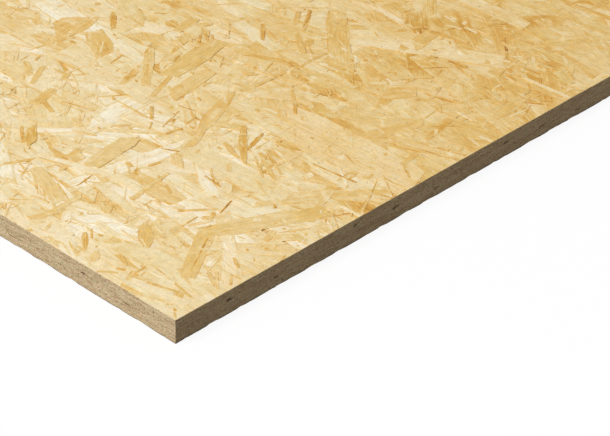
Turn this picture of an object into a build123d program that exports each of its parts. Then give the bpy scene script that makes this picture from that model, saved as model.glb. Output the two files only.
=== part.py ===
from build123d import *
import math
import os

# A sheet of oriented strand board with square sawn edges, as it lies on a level floor.
# X runs along the sheet's length, the way its face strands lie. Y runs across it and Z is up.
# The origin is the middle of the underside. All sizes are in millimetres.

# The sheet
length = 2440.0
width = 1220.0
thickness = 18.0

# Chips that the saw tears out of the lower arris, where its teeth leave the board
chip_pitch = 31.0
chip_length_least = 6.0
chip_length_most = 24.0
chip_depth_least = 0.3
chip_depth_most = 0.9
chip_height_least = 0.3
chip_height_most = 1.1

# Each face layer, whose strands run lengthwise. The strands between them lie crosswise.
face_layer = 4.5

# Voids between the crossed strands of the middle layer, cut open by the saw
void_pitch = 52.0
void_length_least = 4.0
void_length_most = 13.0
void_height_least = 0.5
void_height_most = 1.3
void_depth_least = 1.5
void_depth_most = 4.0
void_inner_share = 0.35

# Chips and voids have their middles at least this far from a corner of the sheet
corner_margin = 14.0

# Steps round the unit interval that fill it evenly and never repeat
place_step = 0.618034
length_step = 0.754878
depth_step = 0.569840
height_step = 0.819173
lean_step = 0.430160


def between(least, most, step, index):
    """A value from least to most, scattered evenly from one index to the next."""
    return least + (most - least) * ((0.5 + index * step) % 1.0)


def solid_of(outlines):
    """The closed solid that flat faces with these outlines enclose."""
    faces = [Face(Wire.make_polygon([Vector(*point) for point in outline])) for outline in outlines]
    return Solid(Shell(faces))


def sides():
    """Each side of the sheet: its middle at floor level, its outward heading and its run."""
    for heading, reach, run in (
        (-90.0, width / 2, length),
        (0.0, length / 2, width),
        (90.0, width / 2, length),
        (180.0, length / 2, width),
    ):
        angle = math.radians(heading)
        middle = (reach * math.cos(angle), reach * math.sin(angle), 0.0)
        yield Location(middle, (0.0, 0.0, heading)), run


def places(run, pitch, lead):
    """Positions along a side about a pitch apart, unevenly, clear of its corners."""
    usable = run - 2 * corner_margin
    count = max(0, int(usable / pitch))
    gap = usable / count if count else 0.0
    for index in range(count):
        wander = between(-0.3, 0.3, place_step, index + lead)
        yield index + lead, -usable / 2 + (index + 0.5 + wander) * gap


def chip_cutter(at, index):
    """A double pyramid whose two slanting planes break the lower arris and meet in a ridge.

    It is drawn on a side whose outward normal is X and whose arris runs along Y. It reaches
    its own depth out past the side and its own height down past the underside.
    """
    half = between(chip_length_least, chip_length_most, length_step, index) / 2
    depth = between(chip_depth_least, chip_depth_most, depth_step, index)
    height = between(chip_height_least, chip_height_most, height_step, index)
    ridge = at + between(-0.5, 0.5, lean_step, index) * half
    below = (-2 * depth, ridge, -height)
    beside = (depth, ridge, 2 * height)
    corner = (depth, ridge, -height)
    start = (0.0, at - half, 0.0)
    end = (0.0, at + half, 0.0)
    rim = (below, beside, corner)
    pairs = list(zip(rim, rim[1:] + rim[:1]))
    return solid_of([(a, b, tip) for tip in (start, end) for a, b in pairs])


def void_cutter(at, index):
    """A lens-shaped gap between strands, open at the sawn face and narrower inside.

    It is drawn on a side whose outward normal is X, with the gap's length along Y. It widens
    on at the same taper as far outside as it is high.
    """
    half = between(void_length_least, void_length_most, length_step, index) / 2
    rise = between(void_height_least, void_height_most, height_step, index) / 2
    depth = between(void_depth_least, void_depth_most, depth_step, index)
    wander = max(0.0, thickness / 2 - face_layer - rise)
    level = thickness / 2 + between(-wander, wander, place_step, index)
    crest = between(-0.6, 0.6, lean_step, index) * half
    taper = (1 - void_inner_share) / depth

    def lens(x):
        share = 1 + x * taper
        return (
            (x, at - half * share, level),
            (x, at + crest * share, level - rise * share),
            (x, at + half * share, level),
            (x, at + crest * share, level + rise * share),
        )

    mouth = lens(rise)
    floor = lens(-depth)
    walls = [(mouth[i], mouth[i - 1], floor[i - 1], floor[i]) for i in range(len(mouth))]
    facets = [facet for a, b, c, d in walls for facet in ((a, b, c), (a, c, d))]
    lids = [facet for ring in (mouth, floor) for facet in (ring[:3], (ring[0], ring[2], ring[3]))]
    return solid_of(facets + lids)


def osb_panel():
    """The whole sheet, one solid: sawn square, with its chips and open voids."""
    sheet = Box(length, width, thickness, align=(Align.CENTER, Align.CENTER, Align.MIN))
    cutters = []
    lead = 0
    for side, run in sides():
        cutters += [side * chip_cutter(at, index) for index, at in places(run, chip_pitch, lead)]
        cutters += [side * void_cutter(at, index) for index, at in places(run, void_pitch, lead)]
        lead += int(run / chip_pitch)
    return sheet.cut(*cutters)


os.makedirs("parts", exist_ok=True)
export_step(osb_panel(), "parts/osb_panel.step")
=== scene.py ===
import math
import time

import bmesh
import bpy
import numpy as np
from mathutils import Matrix, Vector
from mathutils.bvhtree import BVHTree


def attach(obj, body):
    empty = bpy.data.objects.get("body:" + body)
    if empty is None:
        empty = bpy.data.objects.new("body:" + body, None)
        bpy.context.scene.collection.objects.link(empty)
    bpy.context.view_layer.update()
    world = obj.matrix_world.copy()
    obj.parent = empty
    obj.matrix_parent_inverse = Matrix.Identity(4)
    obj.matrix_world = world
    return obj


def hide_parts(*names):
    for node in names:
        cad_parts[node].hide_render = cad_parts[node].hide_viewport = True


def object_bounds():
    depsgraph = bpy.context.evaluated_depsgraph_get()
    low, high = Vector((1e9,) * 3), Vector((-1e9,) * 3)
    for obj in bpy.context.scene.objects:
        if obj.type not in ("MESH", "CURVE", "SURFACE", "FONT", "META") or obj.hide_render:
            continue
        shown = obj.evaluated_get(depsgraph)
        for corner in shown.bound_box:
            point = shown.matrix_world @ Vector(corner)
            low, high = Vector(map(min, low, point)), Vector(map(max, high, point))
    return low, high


# One sheet of oriented strand board, lying flat. Metres everywhere, with millimetres through mm.
# Every strand that shows is a thin plate of its own, laid from the topmost one down.

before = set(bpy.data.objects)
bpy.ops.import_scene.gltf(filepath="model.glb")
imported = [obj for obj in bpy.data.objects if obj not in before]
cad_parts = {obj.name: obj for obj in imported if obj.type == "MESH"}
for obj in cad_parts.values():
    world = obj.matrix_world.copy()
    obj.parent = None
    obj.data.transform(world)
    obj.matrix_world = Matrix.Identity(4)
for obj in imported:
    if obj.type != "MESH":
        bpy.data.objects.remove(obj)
cadLow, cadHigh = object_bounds()
startTime = time.time()
mm = 0.001

boardBox = {
    "node": "osb_panel",
    "body": "root",
    "slot": "strand_wood",
    "length": cadHigh.x - cadLow.x,
    "width": cadHigh.y - cadLow.y,
    "thickness": cadHigh.z - cadLow.z,
}
seeds = {"top": 11, "under": 23, "body": 31}  # each gives another layout
halfLength = boardBox["length"] / 2
halfWidth = boardBox["width"] / 2
thickness = boardBox["thickness"]


def say(words):
    print(f"[{time.time() - startTime:6.1f} s] {words}")


def showInScene(thing):
    bpy.context.scene.collection.objects.link(thing)


# Shader kit

class Val:
    # wraps a socket, so that shader sums are written as plain sums

    def __init__(self, nodes, socket):
        self.nodes = nodes
        self.socket = socket

    def math(self, operation, *others):
        return self.nodes.make("ShaderNodeMath", {"operation": operation}, [self, *others])

    def __add__(self, other):
        return self.math("ADD", other)

    __radd__ = __add__

    def __sub__(self, other):
        return self.math("SUBTRACT", other)

    def __rsub__(self, other):
        return self.nodes.make("ShaderNodeMath", {"operation": "SUBTRACT"}, [other, self])

    def __mul__(self, other):
        return self.math("MULTIPLY", other)

    __rmul__ = __mul__

    def __truediv__(self, other):
        return self.math("DIVIDE", other)

    def __abs__(self):
        return self.math("ABSOLUTE")

    def fraction(self):
        return self.math("FRACT")

    def clamp(self):
        return self.nodes.make("ShaderNodeClamp", {}, [self])

    def other(self, name):
        # another output of the same node
        return Val(self.nodes, self.socket.node.outputs[name])


class Nodes:
    # one material's or world's node tree

    def __init__(self, owner):
        owner.use_nodes = True
        self.tree = owner.node_tree
        self.tree.nodes.clear()

    def make(self, kind, settings, inputs, out=0):
        node = self.tree.nodes.new(kind)
        for name, value in settings.items():
            if name == "stops":
                fillRamp(node.color_ramp, value)
            else:
                setattr(node, name, value)
        pairs = inputs.items() if isinstance(inputs, dict) else enumerate(inputs)
        for key, value in pairs:
            if isinstance(value, Val):
                self.tree.links.new(value.socket, node.inputs[key])
            else:
                node.inputs[key].default_value = value
        return Val(self, node.outputs[out]) if node.outputs else None

    def attribute(self, name):
        return self.make("ShaderNodeAttribute", {"attribute_name": name}, [], "Fac")

    def uv(self, name):
        return self.make("ShaderNodeUVMap", {"uv_map": name}, [])

    def place(self):
        return self.make("ShaderNodeTexCoord", {}, [], "Object")

    def stretched(self, vector, scale, shift=(0, 0)):
        inputs = {"Vector": vector, "Scale": (*scale, 1), "Location": (*shift, 0)}
        return self.make("ShaderNodeMapping", {}, inputs)

    def noise(self, vector, scale, detail=2.0, rough=0.5, shift=(0, 0)):
        # scale is one number, or a pair for noise that is drawn out one way
        if isinstance(scale, tuple):
            vector, scale = self.stretched(vector, scale, shift), 1.0
        inputs = {"Vector": vector, "Scale": scale, "Detail": detail, "Roughness": rough}
        return self.make("ShaderNodeTexNoise", {"noise_dimensions": "2D"}, inputs)

    def ramp(self, value, stops):
        return self.make("ShaderNodeValToRGB", {"stops": stops}, [value])

    def step(self, value, low, high):
        # 0 below low, 1 above high and smooth between them
        inputs = {"Value": value, "From Min": low, "From Max": high}
        return self.make("ShaderNodeMapRange", {"interpolation_type": "SMOOTHSTEP"}, inputs)

    def fade(self, value, low, high):
        # 1 below low and 0 above high
        return 1 - self.step(value, low, high)

    def mix(self, share, first, second):
        # numbers only
        return first + (second - first) * share

    def blend(self, share, first, second, way="MIX"):
        settings = {"data_type": "RGBA", "blend_type": way}
        return self.make("ShaderNodeMix", settings, {0: share, 6: first, 7: second}, 2)

    def cells(self, vector, out):
        # uneven cells, about one to each unit of the vector
        inputs = {"Vector": vector, "Scale": 1.0}
        return self.make("ShaderNodeTexVoronoi", {"voronoi_dimensions": "2D"}, inputs, out)

    def split(self, colour):
        red = self.make("ShaderNodeSeparateColor", {}, [colour])
        return red, red.other("Green"), red.other("Blue")

    def bump(self, strength, depth, height):
        return self.make("ShaderNodeBump", {}, {"Strength": strength, "Distance": depth, "Height": height})

    def tinted(self, colour, *shares):
        tint = self.make("ShaderNodeCombineColor", {}, shares)
        return self.blend(1.0, colour, tint, "MULTIPLY")

    def finish(self, colour, rough, normal, specular):
        inputs = {"Base Color": colour, "Roughness": rough, "Normal": normal, "Specular IOR Level": specular}
        shader = self.make("ShaderNodeBsdfPrincipled", {}, inputs)
        self.make("ShaderNodeOutputMaterial", {}, {"Surface": shader})


def fillRamp(ramp, stops):
    while len(ramp.elements) > 1:
        ramp.elements.remove(ramp.elements[-1])
    ramp.elements[0].position, ramp.elements[0].color = stops[0]
    for place, color in stops[1:]:
        ramp.elements.new(place).color = color


def paint(red, green, blue):
    # a colour as it is seen on screen, 0 to 255, as the linear colour that nodes use (the sRGB curve)
    return tuple(((c / 255 + 0.055) / 1.055) ** 2.4 for c in (red, green, blue)) + (1.0,)


# Camera

cameraPlan = {
    "azimuth": 43.13,  # degrees round the board, from behind its long front edge
    "elevation": 33.22,
    "roll": 1.48,
    "focal": 2363.0,  # in pixels of a frame this wide
    "frameWidth": 610.0,
    "frameHeight": 436.0,
    "cornerPixel": (175.4, 320.8),  # where the near top corner shows
    "cornerDistance": 1.471,  # along the line of sight
    "sensor": 36.0,
    "clip": (0.05, 100.0),
}


def makeCamera(plan):
    azimuth, elevation, roll = (math.radians(plan[k]) for k in ("azimuth", "elevation", "roll"))
    back = Vector((
        math.sin(azimuth) * math.cos(elevation),
        -math.cos(azimuth) * math.cos(elevation),
        math.sin(elevation),
    ))
    level = (-back).cross(Vector((0, 0, 1))).normalized()
    upright = level.cross(-back)
    right = level * math.cos(roll) + upright * math.sin(roll)
    up = upright * math.cos(roll) - level * math.sin(roll)
    corner = Vector((halfLength, -halfWidth, thickness))
    acrossFrame = (plan["cornerPixel"][0] - plan["frameWidth"] / 2) / plan["focal"]
    upFrame = (plan["frameHeight"] / 2 - plan["cornerPixel"][1]) / plan["focal"]
    camera = bpy.data.objects.new("camera", bpy.data.cameras.new("camera"))
    camera.data.sensor_width = plan["sensor"]
    camera.data.lens = plan["focal"] * plan["sensor"] / plan["frameWidth"]
    camera.data.clip_start, camera.data.clip_end = plan["clip"]
    camera.matrix_world = Matrix((right, up, back)).transposed().to_4x4()
    camera.location = corner + plan["cornerDistance"] * (back - right * acrossFrame - up * upFrame)
    showInScene(camera)
    bpy.context.scene.camera = camera


makeCamera(cameraPlan)
say("camera set")


# Strand layout

strandPlan = {
    "cell": 2.5 * mm,  # the grid on which coverage is counted
    "levelStep": 0.018 * mm,  # each strand lies this much under the one above it
    "plateDepth": 0.4 * mm,
    "leastSeen": 0.16,  # the share of a strand that shows, or it is left out
    "leastCells": 3,
    "lipInset": 0.4 * mm,
    "underScale": 1.2,  # the underside's strands are this much larger
    # what a strand covers for sure: less of its width where it tapers or may have lost a splinter,
    # and less of its length where its ends are ragged
    "sureWide": 0.92, "taperLoss": 0.6, "splinterLoss": 0.08, "jagLoss": 0.5,
    # and the cells it may touch: how far to look, its least size and the margin beside it, in cells
    "look": 1.15, "leastLong": 1.5, "leastWide": 1.3, "beside": 0.5,
}
tileColumns, tileRows = 4, 2  # each face and the body are made in this many pieces

# What is left to chance in each strand
chancePlan = {
    "bow": (0.5, 0.02),  # the spread of its bend, and the bend as a share of its length
    "slant": 0.45,  # of its ends
    "jag": (0.05, 0.4),  # how ragged its ends are, as a share of its width
    "jagWidest": 12 * mm,
    "rings": (0.3, 1.1),  # growth rings in a millimetre
    "swirl": (0.4, 0.7),  # the share of strands whose rings curve, and by how much
    "firm": 0.5,  # how even in tone and how crisp in outline, at most
    # near-white strands: pale flakes, partly painted highlights where lifted edges catch light
    "paleTone": (0.02, 0.16),
    "paleWide": 0.6,  # a pale one is this much narrower
}

# Each kind of strand: its length and width in millimetres, its turn from the board's length in
# degrees, the share that lies at any angle, its tones (middle, spread, lightest and darkest), the
# share that is near white, how far it tapers and its mesh, across and along. Where short is over
# 1, short ones are the more common
strandKinds = {
    "sliver": {
        "long": (6, 42), "wide": (0.9, 2.9), "turn": 45, "stray": 0.30, "short": 2.0,
        "tone": (0.50, 0.17, 0.0, 0.90), "pale": 0.10, "taper": 0.95, "mesh": (2, 5),
    },
    "flake": {
        "long": (5, 24), "wide": (2.5, 9), "turn": 50, "stray": 0.35, "short": 1.5,
        "tone": (0.42, 0.17, 0.0, 0.80), "pale": 0.12, "taper": 0.6, "mesh": (3, 4),
    },
    "narrow": {
        "long": (36, 105), "wide": (5, 11), "turn": 34, "stray": 0.20, "short": 1.0,
        "tone": (0.40, 0.135, 0.09, 0.64), "pale": 0.04, "taper": 0.4, "mesh": (3, 6),
    },
    "middle": {
        "long": (55, 130), "wide": (10, 21), "turn": 26, "stray": 0.12, "short": 1.0,
        "tone": (0.36, 0.12, 0.12, 0.60), "pale": 0.01, "taper": 0.3, "mesh": (3, 6),
    },
    "wide": {
        "long": (80, 150), "wide": (20, 40), "turn": 17, "stray": 0.04, "short": 1.0,
        "tone": (0.33, 0.095, 0.15, 0.52), "pale": 0.0, "taper": 0.2, "mesh": (4, 6),
    },
}
strandKinds["base"] = {"taper": 0.0, "mesh": (2, 3)}  # what lies under them all
# How many of each kind are thrown for each face, from the topmost layer down
strandLayers = {
    "top": [
        {"sliver": 3200, "flake": 1700},
        {"sliver": 350, "flake": 600, "narrow": 750, "middle": 800, "wide": 200},
        {"narrow": 500, "middle": 2000, "wide": 1300},
    ],
    "under": [
        {"sliver": 350, "flake": 300},
        {"sliver": 150, "flake": 200, "narrow": 350, "middle": 450, "wide": 140},
        {"narrow": 150, "middle": 1000, "wide": 900},
    ],
}

quiltPlan = {"long": (60, 120), "wide": (16, 32), "tone": (0.38, 0.09)}  # sizes in millimetres

# The strands and bits that show at the near corner, topmost first: from and to in millimetres
# from that corner, along the long edge and along the short one, then width, tone and, where it
# isn't the usual one, taper
cornerBits = [
    (55, 83, 33, 45, 1.6, 0.80), (29, 117, 24, 104, 5, 0.55),
    (20, 160, 58, 84, 17, 0.55), (60, 86, 29, 38, 13, 0.58),
    (75.5, 43, 74.3, 42.4, 1.2, 1.0), (95, 61, 72, 43, 11, 0.66, 0.8),
    (114, 26, 99, 13, 4.5, 0.77, 0.5), (114, 32, 106, 25, 1.5, 0.80),
    (107, 127, 86, 118, 9, 0.0), (74, 122, 68.5, 106, 1.5, 1.0),
    (72, 104, 68.5, 98, 3, 0.75), (73, 108, 90, 88, 2.5, 0.62),
    (76, 92, 75, 77, 1.2, 0.7), (147, 104, 144, 98, 3, 0.85),
    (129, 116, 123, 75, 3, 0.5), (155, 88, 124, 88, 9, 0.15),
    (153, 71, 109, 66, 8, 0.35), (163, 77, 160, 60, 1, 0.85),
    (127, 60, 121, 53, 5, 0.6), (145, 30, 152, 11, 5, 0.5),
    (57, 28, 56, 19, 1.5, 0.7), (53, 11, 7, 17, 8, 0.1),
    (54, 13, 21, 23, 2, 0.65), (24, 75, 14, 69, 2.5, 0.8),
    (16, 124, 8, 121, 6, 0.5), (109, 131, 92, 129, 1.2, 0.8),
    (156, 134, 144, 140, 1.2, 0.95), (144, 136, 131, 127, 8, 0.55),
    (114, 249, 73, 246, 1.5, 0.65), (53, 292, 67, 249, 13, 0.57),
    (52, 263, 0, 280, 1.2, 0.66), (51, 256, 0, 271, 1.2, 0.64),
    (51, 260, 0, 276, 13, 0.44), (28, 257, 25, 240, 4.5, 0.66),
    (25, 240, 10, 230, 2, 0.65), (149, 257, 132, 243, 3, 0.7),
    (132, 243, 124, 235, 3, 0.8), (139, 254, 121, 250, 7, 0.5),
    (139, 197, 102, 161, 6, 0.70, 0.6), (131, 171, 111, 164, 4.5, 0.66),
    (121, 199, 113, 176, 3.5, 0.88, 0.6), (166, 202, 160, 182, 6, 0.55),
    (160, 182, 148, 161, 6, 0.55), (148, 161, 144, 149, 6, 0.58),
    (157, 184, 135, 193, 7, 0.5), (68, 195, 31, 199, 1.5, 0.8),
    (88, 177, 84, 162, 1.8, 0.75), (104, 179, 71, 161, 3.5, 0.55),
    (104, 174, 80, 158, 2, 0.6), (100, 183, 74, 170, 2, 0.55),
    (73, 173, 56, 168, 3, 0.02), (20, 170, 0, 170, 3, 0.05),
    (109, 154, 102, 146, 4, 0.65), (43, 318, 35, 276, 5, 0.72),
    (190, 92, 189, 80, 13, 0.58), (180, 128, 173, 84, 15, 0.52),
    (269.5, 134, 263.5, 111, 8, 0.62), (262, 118, 246, 112.5, 4, 0.8),
    (241, 89, 223, 73, 8, 0.68), (206, 65, 181, 73, 2, 0.55),
    (184, 73, 183.5, 64, 4, 0.6), (229, 118, 216, 114, 5, 0.55),
    (209, 66, 154, 84, 8, 0.15), (197, 55, 154, 39, 12, 0.48),
    (205, 60, 190, 57, 7, 0.05), (287, 265, 277, 262, 9, 0.77, 0.4),
    (276, 283, 271, 258, 9, 0.6), (256, 269, 247, 258, 2.2, 0.9),
    (253, 270, 243.6, 264.6, 2.5, 0.75), (264, 255, 254, 251, 8, 0.65),
    (238, 271, 226, 208, 18, 0.55), (226, 211, 212, 177, 4.5, 0.6),
    (210, 234, 203, 189, 15, 0.55), (268, 229, 263, 217.7, 1.5, 0.75),
    (255, 214, 232, 191, 1.5, 0.7), (266, 226, 228, 186, 8, 0.55),
    (173.5, 222, 166, 209, 1.5, 0.8), (176, 223, 153, 166, 12, 0.62, 0.7),
    (170, 281, 172, 230, 2.5, 0.6), (203, 169, 189.5, 156, 2.5, 0.8),
    (186.5, 153.4, 181.4, 146.8, 1.5, 0.9), (272, 204, 269, 189, 1.5, 0.8),
    (226, 156, 193, 156, 1.5, 0.6), (169.6, 181, 168, 169.7, 1.6, 0.85),
    (168, 180, 162, 180, 1.6, 0.8), (164.5, 169, 160, 169, 1.6, 0.85),
    (165, 163, 168, 149, 2.5, 0.8), (297, 207, 286, 194, 1.2, 0.1),
    (314, 213, 280, 194, 18, 0.6), (33, 417, 15, 411, 10, 0.58),
    (3.5, 407, 3.5, 395, 8, 0.68), (56, 392, 33.4, 414.5, 1.8, 0.6),
    (35.5, 402, 29, 395, 1.8, 0.75), (49, 402, 34, 402, 4, 0.6),
    (141, 395, 106, 404, 5, 0.66), (135.5, 396, 131, 369, 14, 0.58),
    (35.6, 389, 28, 381.5, 1.2, 0.8), (28, 383.7, 15, 383.7, 2.5, 0.72),
    (44, 393, 0, 394, 4, 0.15), (34, 388, 5, 388, 5, 0.6),
    (64, 351, 52, 336, 4.5, 0.64), (52, 336, 37.7, 323, 4, 0.64),
    (48.3, 351, 48.3, 338, 4, 0.62), (25, 368, 20.7, 338, 10, 0.58),
    (62, 318, 54.7, 311.4, 5, 0.72), (56.8, 310, 55.2, 296.5, 1.2, 0.75),
    (45, 317, 42, 298, 4, 0.65), (34.5, 318, 34, 313, 2, 0.85),
    (155.7, 327, 127, 299.7, 1.5, 0.65), (93, 359, 88.7, 346.5, 1.5, 0.7),
    (210, 369.5, 149, 309, 18, 0.56), (190, 388, 174, 378, 15, 0.58),
    (224.3, 355, 206, 329, 3.5, 0.88), (228.3, 346, 216, 330, 4, 0.6),
    (234, 313, 216.6, 295, 3.5, 0.82), (208, 322.7, 180.7, 302.5, 5, 0.6),
    (190.4, 322, 190.4, 313.5, 6, 0.68), (170, 315, 168.6, 282, 2.5, 0.65),
    (172.6, 283, 197.6, 289.5, 1.5, 0.72), (322, 240, 311, 230, 1.8, 0.98),
    (327, 244, 307, 226, 5.5, 0.80, 0.5),
    (336, 222, 331, 190, 26, 0.6), (341, 180, 310, 179, 14, 0.52),
    (280, 157, 274.5, 146.5, 4, 0.58), (292, 153.5, 276, 155.5, 2, 0.6),
    (314, 146.5, 296, 135, 5, 0.6),
    (153, 73, 112, 66, 1.1, 0.63), (153, 70, 111, 63, 1.1, 0.62), (151, 67, 114, 60, 1.1, 0.62),
    (146, 103, 142, 98, 2.2, 0.88), (159, 105, 152, 103, 3, 0.72), (131, 108, 124, 104, 2.2, 0.7),
    (136, 96, 127, 88, 3, 0.74), (126, 98, 121, 75, 3, 0.58), (119, 104, 109, 99, 2, 0.68),
    (132, 92, 131, 86, 2, 0.85), (100, 182, 90, 165, 2.5, 0.66), (88, 178, 85, 163, 2.2, 0.80),
    (136, 336, 102, 328, 20, 0.54), (40, 304, 0, 313, 20, 0.62), (32, 289, 0, 298, 14, 0.60),
    (24, 352, 20, 330, 6, 0.56), (98, 372, 84, 376, 2, 0.78), (190, 322, 188, 313, 6, 0.72),
    (100, 300, 85, 320, 16, 0.60), (182, 230, 168, 238, 12, 0.54), (35, 180, 26, 152, 4, 0.5),
    (150, 205, 200, 208, 8, 0.5), (30, 28, 12, 25, 2.2, 0.62), (92, 18, 84, 6, 7, 0.42, 0.8),
    (70, 70, 40, 66, 6, 0.2), (118, 40, 96, 38, 6, 0.15), (60, 130, 30, 170, 7, 0.5),
    (188, 56, 158, 40, 2, 0.58), (180, 50, 150, 31, 2.2, 0.60), (172, 53, 150, 44, 1.5, 0.64),
    (196, 52, 176, 38, 2, 0.58), (149, 54, 147, 14, 5, 0.48), (143, 37, 128, 21, 7, 0.08, 0.8),
    (90, 15, 58, 17, 7, 0.10, 0.8), (60, 6, 30, 8, 5, 0.14, 0.8), (120, 20, 104, 9, 5, 0.12, 0.8),
    (134, 58, 122, 52, 4, 0.60), (112, 12, 96, 4, 3, 0.5), (78, 25, 66, 20, 2, 0.6),
    (40, 41, 22, 34, 3, 0.52), (24, 52, 10, 44, 3, 0.5), (12, 61, 4, 52, 2, 0.6),
    (176, 92, 160, 72, 6, 0.10, 0.8), (140, 70, 118, 62, 1.3, 0.66), (138, 66, 120, 59, 1.2, 0.64),
    (300, 150, 286, 128, 5, 0.60), (282, 148, 268, 138, 7, 0.12, 0.8), (246, 84, 228, 70, 3, 0.70),
]
# Small spots there: the place, the size and the tone
cornerSpots = [
    (104, 31, 3, 0.9), (9, 8, 3, 0.85), (25, 88, 2, 0.9), (17, 98, 2, 0.9),
    (46, 126, 2, 0.85), (25.5, 123, 2, 0.85), (146, 219, 4, 0.75), (114, 275, 5, 0.75),
    (225, 115, 2, 0.95), (206, 121, 3, 0.8), (156, 103.6, 5, 0.7), (299, 220, 3, 0.85),
    (294, 218, 3, 0.85), (246, 184, 3, 0.7), (230, 156.5, 4, 0.75), (109, 367.5, 6, 0.82),
    (116, 377, 3, 0.85), (77, 391, 5, 0.65), (84.5, 374.6, 4, 0.8), (156, 311.4, 3, 0.9),
    (106, 303, 2.5, 0.8), (76, 312.5, 3, 0.8), (139.7, 286, 2.5, 0.8), (228, 352.5, 2, 1.0),
    (239, 314.5, 3, 0.85), (259, 299, 2.5, 0.8), (335, 181.4, 2.5, 0.85), (324.5, 179.6, 3, 0.75),
    (312.4, 190.3, 4, 0.72),
]
# The broad strands that the bits lie on
cornerBroad = [
    (46, 11, -30, 14, 30, 0.20), (86, 34, 4, 40, 22, 0.22), (150, 14, 56, 10, 24, 0.14),
    (120, 224, 0, 226, 45, 0.30), (150, 148, 0, 148, 24, 0.32), (353, 180, 207, 180, 34, 0.25),
    (299, 150, 268, 126, 26, 0.12), (218, 286, 202, 280, 12, 0.55), (250, 302, 198, 290, 14, 0.20),
    (142, 325, 111, 324, 22, 0.58), (166, 314, 140, 314, 28, 0.60), (25, 300, 0, 300, 30, 0.62),
    (150, 416, 130, 409, 16, 0.60), (147, 96, 98, 96, 18, 0.48),
]
# Short torn strands round that corner, in millimetres and degrees
crumbPlan = {
    "count": 640, "seed": 5,
    "reach": (430, 430), "gather": 1.2,  # how far they lie, and how much thicker near the corner
    "long": (4, 24), "wide": (0.9, 3.6), "narrowest": 0.6, "turn": 48,
    "tone": (0.37, 0.14), "tones": (0.05, 0.78),  # middle and spread, then lightest and darkest
}
# What all the strands that are placed there share
placedPlan = {
    "contrast": 0.86, "meanTone": 0.36,
    "paleShare": 0.35,  # how much of the pale patch reaches them
    "taper": 0.2, "jag": 0.6,
    "bend": (0.5, 0.1), "bendsUnder": 12 * mm,  # for narrow strands and for the others
    "lines": 0.6, "linesMore": 0.5, "linesOver": 20 * mm,  # broad strands show more rings
    "firm": (0.55, 0.85),
    "spotLean": 0.3, "spotWide": 0.7,
}

# The board is a little browner in some stretches than in others, more so near the corner
driftPlan = {
    "slow": (0.8, 0.35), "slowLength": 130 * mm, "slowFrom": 0.9, "slowBy": 0.06,
    "nearBy": 0.08, "nearReach": 0.7,
    "wide": 0.6, "wideLength": 240 * mm, "wideBy": 0.03,
    "allBy": 0.01,
}
palePatch = {"x": halfLength - 0.18, "y": -halfWidth + 0.05, "long": 0.26, "wide": 0.16, "by": 0.22}


def paleBy(x, y):
    away = math.hypot((x - palePatch["x"]) / palePatch["long"], (y - palePatch["y"]) / palePatch["wide"])
    return palePatch["by"] * math.exp(-away ** 2)


def toneDrift(x, y):
    plan = driftPlan
    u, v = x - halfLength, y + halfWidth
    slow = math.sin((v * plan["slow"][0] + u * plan["slow"][1]) / plan["slowLength"] - plan["slowFrom"])
    near = math.exp(-(u ** 2 + v ** 2) / plan["nearReach"] ** 2)
    wide = math.sin((x - plan["wide"] * y) / plan["wideLength"])
    drift = (plan["slowBy"] + plan["nearBy"] * near) * slow + plan["wideBy"] * wide + plan["allBy"]
    return drift - paleBy(x, y)


kindLimits = {"sliver": 3.3 * mm, "flake": (9 * mm, 30 * mm), "narrow": 11 * mm, "middle": 22 * mm}


def kindOf(wide, long):
    if wide < kindLimits["sliver"]:
        return "sliver"
    if wide < kindLimits["flake"][0] and long < kindLimits["flake"][1]:
        return "flake"
    return "narrow" if wide < kindLimits["narrow"] else "middle" if wide < kindLimits["middle"] else "wide"


def strandFrom(rng, kind, x, y, long, wide, turn, tone):
    # a strand's facts, those it is given and those left to chance
    plan = chancePlan
    spread, bow = plan["bow"]
    swirls, swirl = plan["swirl"]
    return {
        "kind": kind, "x": x, "y": y, "long": long, "wide": wide, "turn": turn,
        "bend": rng.normal(0, spread) * long * bow / (long / 2) ** 2,
        "slant": (rng.normal(0, plan["slant"]), rng.normal(0, plan["slant"])),
        "jag": rng.uniform(*plan["jag"]) * min(wide, plan["jagWidest"]),
        "taper": strandKinds[kind]["taper"] * rng.random(),
        "tone": float(np.clip(tone, 0.0, 1.0)),
        "shade": rng.normal(0, 1),
        "lines": rng.random() ** 2,
        "rings": rng.uniform(*plan["rings"]) / mm,
        "swirl": rng.normal(0, swirl) if rng.random() < swirls else 0.0,
        "whole": False,
        "firm": rng.random() * plan["firm"],
    }


def throwStrand(rng, kind, x, y, scale=1.0):
    plan = strandKinds[kind]
    least, most = plan["long"]
    long = (least + (most - least) * rng.random() ** plan["short"]) * mm * scale
    wide = rng.uniform(*plan["wide"]) * mm * scale
    turn = rng.normal(0, math.radians(plan["turn"]))
    if rng.random() < plan["stray"]:
        turn = rng.uniform(-math.pi / 2, math.pi / 2)
    middle, spread, lightest, darkest = plan["tone"]
    tone = min(max(rng.normal(middle, spread), lightest), darkest) + toneDrift(x, y)
    if rng.random() < plan["pale"]:
        tone = rng.uniform(*chancePlan["paleTone"]) + lightest
        wide *= chancePlan["paleWide"]
    return strandFrom(rng, kind, x, y, long, wide, turn, tone)


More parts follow.
